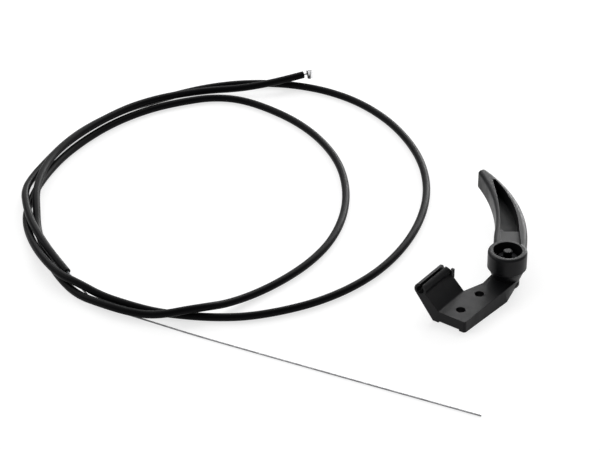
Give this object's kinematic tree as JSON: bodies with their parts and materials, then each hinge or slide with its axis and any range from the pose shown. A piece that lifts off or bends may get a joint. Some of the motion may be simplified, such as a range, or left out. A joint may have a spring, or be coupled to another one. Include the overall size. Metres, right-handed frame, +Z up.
{
  "type": "hood release cable with pull lever",
  "caption": "Moulded bracket with a curved pull lever on an upright pin, and its long sheathed release cable with a barrel end, lying in loose coils.",
  "frame": {"origin": "midway between the bracket's two screw holes, on its mounting plane", "axes": "+X along the screw holes towards the pivot, +Y towards the casing clip's side, +Z up from the mounting plane"},
  "size_m": [0.3315, 0.4297, 0.0285],
  "materials": {
    "bracket_moulding": "fine moulded texture, soft sheen",
    "lever_moulding": "fine moulded texture, soft sheen",
    "pin_steel": "turned, plain",
    "spring_steel": "blackened",
    "casing_sheath": "smooth extruded sheath",
    "wire_steel": "stranded, dull",
    "liner_plastic": "translucent, pale",
    "zinc": "bright cast"
  },
  "bodies": {
    "base": {"bracket": "bracket_moulding", "pivot_pin": "pin_steel", "retaining_washer": "spring_steel", "casing": "casing_sheath", "inner_wire": "wire_steel", "liner_end": "liner_plastic", "wire_stub": "wire_steel", "barrel_end": "zinc"},
    "lever": {"lever": "lever_moulding"}
  },
  "joints": [
    {"name": "lever_pivot", "type": "hinge", "parent": "base", "child": "lever", "pos_m": [0.0417, -0.0024, 0.0146], "axis": [0, 0, 1], "range_deg": [0, 70]}
  ]
}
